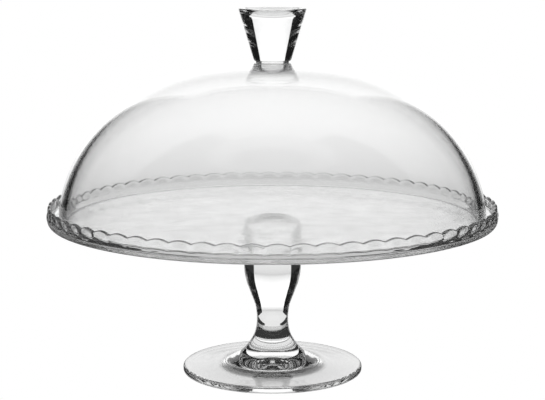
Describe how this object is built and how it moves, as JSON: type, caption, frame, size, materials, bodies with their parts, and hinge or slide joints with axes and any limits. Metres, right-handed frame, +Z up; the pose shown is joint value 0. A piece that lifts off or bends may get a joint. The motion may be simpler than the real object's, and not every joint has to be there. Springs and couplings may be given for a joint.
{
  "type": "domed cake stand",
  "caption": "Footed glass cake stand: a flat plate with a scalloped rim on a waisted pedestal, under a lift-off glass dome with a solid tapered knob.",
  "frame": {"origin": "on the table, on the common axis of the foot, stem, plate, dome and knob", "axes": "+Z up along that axis; the object is turned about it, so +X and +Y are only told apart by the scallops"},
  "size_m": [0.3218, 0.3218, 0.2618],
  "materials": {
    "plate_glass": "clear pressed soda-lime glass, fire-polished, with a faint surface ripple",
    "pedestal_glass": "clear pressed soda-lime glass, fire-polished, solid stem with dark refracted edges",
    "dome_glass": "clear blown soda-lime glass, smooth and glossy",
    "knob_glass": "clear solid pressed glass, polished, with dark refracted edges",
    "clear_adhesive": "clear cured glass adhesive, a thin film"
  },
  "bodies": {
    "stand": {"plate": "plate_glass", "pedestal": "pedestal_glass", "stem_bond": "clear_adhesive"},
    "cover": {"dome": "dome_glass", "knob": "knob_glass", "knob_bond": "clear_adhesive"}
  },
  "joints": [
    {"name": "cover_lift", "type": "slide", "parent": "stand", "child": "cover", "axis": [0, 0, 1], "range_m": [0, 0.15]}
  ]
}
